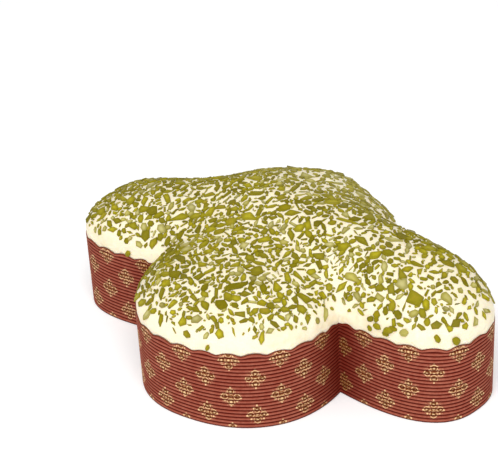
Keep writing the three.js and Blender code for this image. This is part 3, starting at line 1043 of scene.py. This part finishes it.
# Where fewer flakes fell than elsewhere: the place, how far round it, and the share missing. It is
# below 0 where more fell.
THIN_SPOTS = (
    (0.14, 0.006, 0.03, 0.85),
    (0.000, 0.06, 0.04, 0.9),
    (0.06, 0.048, 0.032, 0.9),
    (0.055, -0.022, 0.018, -1.5),
    (0.105, -0.036, 0.025, 0.4),
    (0.02, -0.092, 0.03, 0.5),
    (0.000, -0.008, 0.045, -0.5),
    (0.000, -0.06, 0.025, -0.3),
    (-0.052, -0.05, 0.025, -0.8),
    (-0.13, 0.000, 0.03, -0.5),
)
NIB_SHARE = 0.22
PALE_SHARE = 0.16
PALE_TINT = (0.3, 0.8)
PLAIN_TINT = (0, 0.04)
# Painted sheen makes flakes paler towards the back: where it starts and is full, and its share
BACK_SHEEN_FROM = (0.015, 0.075)
BACK_SHEEN = 0.25
TRIES = 60
OVERHANG = 0.2
WITHIN_EDGE = 0.995
CELL = 0.008

# The chunky nibs that fell on the front of the tail and into the notch: their places and lengths
NIBS = (
    (0.101, -0.04, 0.061, 0.007),
    (0.104, -0.039, 0.063, 0.005),
    (0.099, -0.041, 0.058, 0.0048),
    (0.111, -0.039, 0.062, 0.0058),
    (0.13, -0.032, 0.061, 0.0052),
    (0.139, -0.025, 0.058, 0.0062),
    (0.088, -0.037, 0.064, 0.005),
    (0.093, -0.038, 0.061, 0.0056),
    (0.088, -0.038, 0.058, 0.004),
    (0.105, -0.034, 0.071, 0.006),
    (0.1, -0.032, 0.074, 0.0066),
    (0.097, -0.034, 0.071, 0.0052),
    (0.122, -0.03, 0.069, 0.005),
    (0.059, -0.052, 0.062, 0.0042),
    (0.052, -0.068, 0.064, 0.0036),
    (-0.093, -0.036, 0.0555, 0.005),
    (0.015, -0.099, 0.057, 0.0044),
)


def chip_kind(draw, corners, aspect):
    outline = []
    turn = draw.random()
    for i in range(corners):
        angle = 2 * math.pi * (i + turn + draw.uniform(-KIND_WANDER, KIND_WANDER)) / corners
        outline.append(corner_at(angle, 0.5 * draw.uniform(*KIND_REACH), aspect))
    return mesh_from(chip(outline, draw, 0.0, 1.0, KIND_RIM), "chip_kind")


def strewing_weight(centre, normal, on_steep):
    """How thickly flakes fall on a patch: fewer near the rim and where the icing is steep."""
    above = smooth_step(centre.z - CASE_HEIGHT, *BARE_BAND)
    level = smooth_step(normal.z, *STEEP)
    clump = smooth_step(noise.noise(centre * CLUMPS), *CLUMP_EDGES)
    weight = between((IN_BARE_BAND, 1), above) * between((on_steep, 1), level)
    for x, y, spread, missing in THIN_SPOTS:
        weight *= 1 - missing * hump_at(centre, x, y, spread)
    return weight * between((BETWEEN_CLUMPS, 1), clump)


def cell_of(place):
    return int(place.x // CELL), int(place.y // CELL)


def take_place(laid, place, length):
    """Notes that a flake of that length lies at a place."""
    laid.setdefault(cell_of(place), []).append((place, length))


def strewn(draw, laid, count, sizes, crowding, on_steep):
    """Places for count more flakes, none nearer another than their sizes and the crowding allow."""
    reach = []
    total = 0.0
    for centre, normal, area in icing_patches:
        total += area * strewing_weight(centre, normal, on_steep)
        reach.append(total)
    made = []
    for _ in range(TRIES * count):
        if len(made) == count:
            break
        centre, normal, area = icing_patches[bisect.bisect_left(reach, draw.random() * total)]
        jitter = Vector((draw.uniform(-1, 1), draw.uniform(-1, 1), draw.uniform(-1, 1))) * math.sqrt(area) / 2
        place, normal, _, _ = icing_surface.find_nearest(centre + jitter)
        length = between(sizes, draw.random() ** SMALL_BIAS)
        column, row = cell_of(place)
        cells = [(column + i, row + j) for i in (-1, 0, 1) for j in (-1, 0, 1)]
        near = [other for cell in cells for other in laid.get(cell, ())]
        if any((place - spot).length < crowding * (length + size) for spot, size in near):
            continue
        outermost = (place + normal * length * OVERHANG).xy - SHIFT
        if not any(lobe_place(lobe, outermost) < WITHIN_EDGE for lobe in LOBES):
            continue
        take_place(laid, place, length)
        made.append((place, normal, length))
    return made


def lay(heap, kind, place, lift, lie, size):
    """Adds a copy of one kind of flake to the heap, lifted off its place. Gives its number of faces
    with the place."""
    copy = kind.copy()
    copy.transform(Matrix.Translation(place + lift) @ lie.to_matrix().to_4x4() @ Matrix.Diagonal((*size, 1)))
    heap.from_mesh(copy)
    count = len(copy.polygons)
    bpy.data.meshes.remove(copy)
    return count, place


FLAKE_DARK = (0.14, 0.116, 0.0, 1)
FLAKE_LIGHT = (0.46, 0.395, 0.012, 1)
FLAKE_CLOUD = (0.21, 0.175, 0.0, 1)
# A pale colour where icing ran over a flake, and for the painted sheen on flakes towards the back
FLAKE_FILM_AND_SHEEN = (0.58, 0.53, 0.23, 1)
FLAKE_VEIN = (0.46, 0.39, 0.03, 1)
FLAKE_BROWN = (0.3, 0.2, 0.012, 1)
# Painted shade at a flake's edges and sides: the share of its colour left there, and the core value where the
# shade is gone
EDGE_SHADE = 0.45
CORE_FULL = 0.8
NUT_CLOUDS = (330, 4, 0.35, 0.75)
NUT_VEINS = (900, 3, 0.5, 0.8)
NUT_TOASTED = (140, 3, 0.55, 0.7)
NUT_CLOUD_SHARE = 0.6
NUT_VEIN_SHARE = 0.25
TOASTED_SHARE = 0.55
VEIN_DEPTH = 0.00012
NUT_ROUGH = (0.5, 0.36)


def flake_material():
    material, tree, shader = new_material("green_nut", Specular_IOR_Level=0.08)
    where = add_node(tree, "ShaderNodeTexCoord").outputs["Object"]
    reads = [add_node(tree, "ShaderNodeAttribute", attribute_name=name) for name in ("tint", "film_and_sheen", "core")]
    tint, film_and_sheen, core = (node.outputs["Fac"] for node in reads)
    cloud = grain(tree, where, *NUT_CLOUDS)
    vein = grain(tree, where, *NUT_VEINS)
    # Painted shade darkens each flake towards its edges and sides, where its core is 0
    heart = fade(tree, core, 0, CORE_FULL, EDGE_SHADE, 1.0)
    green = tinted(tree, FLAKE_DARK, tint, heart, FLAKE_LIGHT)
    green = tinted(tree, green, cloud, NUT_CLOUD_SHARE, FLAKE_CLOUD)
    toasted = calc(tree, "MULTIPLY", grain(tree, where, *NUT_TOASTED), heart)
    green = tinted(tree, green, toasted, TOASTED_SHARE, FLAKE_BROWN)
    # Paler where icing ran over a flake, and with painted sheen towards the back
    green = tinted(tree, green, film_and_sheen, heart, FLAKE_FILM_AND_SHEEN)
    green = tinted(tree, green, vein, NUT_VEIN_SHARE, FLAKE_VEIN)
    wire(tree, shader, green, fade(tree, cloud, 0, 1, *NUT_ROUGH), bump(tree, vein, VEIN_DEPTH))
    return material


draw = random.Random(SEED)
heap = bmesh.new()
heap.verts.layers.float.new("core")
laid = {}
face_counts = []
for point, length, outline, turn in large_flakes():
    above = Vector((point.x + SHIFT.x, point.y + SHIFT.y, 3 * CASE_HEIGHT))
    place = icing_surface.ray_cast(above, Vector((0, 0, -1)))[0]
    kind = mesh_from(chip(outline, draw, -FLAKE_SUNK, FLAKE_ABOVE, FLAKE_RIM, broken=True), "large_flake")
    face_counts.append(lay(heap, kind, place, Vector(), turn, (1, 1, 1)))
    bpy.data.meshes.remove(kind)
    take_place(laid, place, length)

chips = [chip_kind(draw, draw.choice(CHIP_CORNERS), draw.uniform(*CHIP_ASPECT)) for _ in range(CHIP_KINDS)]
chips += [chip_kind(draw, SLIVER_CORNERS, draw.uniform(*SLIVER_ASPECT)) for _ in range(SLIVER_KINDS)]
nibs = [mesh_from(nib(draw, 1), "nib_kind") for _ in range(NIB_KINDS)]
for x, y, z, length in NIBS:
    place, normal, _, _ = icing_surface.find_nearest(Vector((x + SHIFT.x, y + SHIFT.y, z)))
    kind = mesh_from(nib(draw, 2), "large_nib")
    lie = normal.to_track_quat("Z", "Y") @ Quaternion((0, 0, 1), draw.uniform(0, 2 * math.pi))
    face_counts.append(lay(heap, kind, place, NIB_LIFT * length * normal, lie, (length, length, length)))
    bpy.data.meshes.remove(kind)
    take_place(laid, place, length)

small = strewn(draw, laid, MIDDLE_FLAKES, MIDDLE_LENGTH, CROWDING[0], ON_STEEP[0])
small += strewn(draw, laid, SMALL_FLAKES, SMALL_LENGTH, CROWDING[1], ON_STEEP[1])
for place, normal, length in small:
    axis = (draw.uniform(-1, 1), draw.uniform(-1, 1), AXIS_UP)
    tilt = Quaternion(axis, math.radians(draw.uniform(0, MOST_TILT)))
    lie = normal.to_track_quat("Z", "Y") @ tilt @ Quaternion((0, 0, 1), draw.uniform(0, 2 * math.pi))
    if length < SMALL_LENGTH[1] and draw.random() < NIB_SHARE:
        size = [length * share for share in SMALL_NIB]
        face_counts.append(lay(heap, draw.choice(nibs), place, NIB_LIFT * length * normal, lie, size))
    else:
        thick = FLAKE_THICK * draw.uniform(*THICKNESS_VARIES)
        size = (length, length * draw.uniform(*WIDTH_VARIES), thick)
        lift = -thick * draw.uniform(*SUNK_SHARE) * normal
        face_counts.append(lay(heap, draw.choice(chips), place, lift, lie, size))
for kind in [*chips, *nibs]:
    bpy.data.meshes.remove(kind)

# Every flake has its own tint, and some are pale where icing ran over them. A painted sheen makes them paler
# towards the back.
tint_layer = heap.faces.layers.float.new("tint")
film_and_sheen_layer = heap.faces.layers.float.new("film_and_sheen")
heap.faces.ensure_lookup_table()
at = 0
for count, place in face_counts:
    tint = draw.random()
    film_and_sheen = draw.uniform(*PALE_TINT) if draw.random() < PALE_SHARE else draw.uniform(*PLAIN_TINT)
    film_and_sheen += BACK_SHEEN * smooth_step(place.y, *BACK_SHEEN_FROM)
    for face in heap.faces[at:at + count]:
        face[tint_layer] = tint
        face[film_and_sheen_layer] = film_and_sheen
    at += count
# No flake stands past the box of the frame
for vertex in heap.verts:
    ranges = zip(vertex.co, *cad_box)
    vertex.co = [min(max(value, low + INSIDE_FRAME), high - INSIDE_FRAME) for value, low, high in ranges]
flakes_piece = finished(heap, "nut_flakes", flake_material(), smooth=False)


# The floor and the light: a plain white table in an evenly bright room, with one broad soft light
# above the front, a little to the right.
FLOOR_SIZE = 8.0
FLOOR_WHITE = (0.93, 0.93, 0.93, 1)
FLOOR_GLOW = 0.13
ROOM_LIGHT = 0.54
LIGHT_DISTANCE = 2.6
LIGHT_SIZE = 2.3
# Each soft light: its azimuth and height in degrees, and its power
SOFT_LIGHTS = {"broad_light": (28, 50, 60), "front_fill": (8, 40, 8)}

floor_look, _, _ = new_material(
    "plain_white",
    Base_Color=FLOOR_WHITE,
    Roughness=0.9,
    Specular_IOR_Level=0.1,
    Emission_Color=FLOOR_WHITE,
    Emission_Strength=FLOOR_GLOW,
)
floor_body = bmesh.new()
bmesh.ops.create_grid(floor_body, x_segments=1, y_segments=1, size=FLOOR_SIZE / 2)
floor_mesh = mesh_from(floor_body, "floor")
floor_mesh.materials.append(floor_look)
floor = placed("floor", floor_mesh)

for name, (azimuth, elevation, power) in SOFT_LIGHTS.items():
    lamp = bpy.data.lights.new(name, "AREA")
    lamp.shape = "SQUARE"
    lamp.size = LIGHT_SIZE
    lamp.energy = power
    light = placed(name, lamp)
    way = looking_back(math.radians(azimuth), math.radians(elevation))
    light.location = way * LIGHT_DISTANCE
    light.rotation_mode = "QUATERNION"
    light.rotation_quaternion = way.to_track_quat("Z", "Y")
world = bpy.data.worlds.new("bright_room")
world.use_nodes = True
background = world.node_tree.nodes["Background"].inputs
background["Color"].default_value = (1, 1, 1, 1)
background["Strength"].default_value = ROOM_LIGHT
scene.world = world
scene.view_settings.view_transform = "Standard"
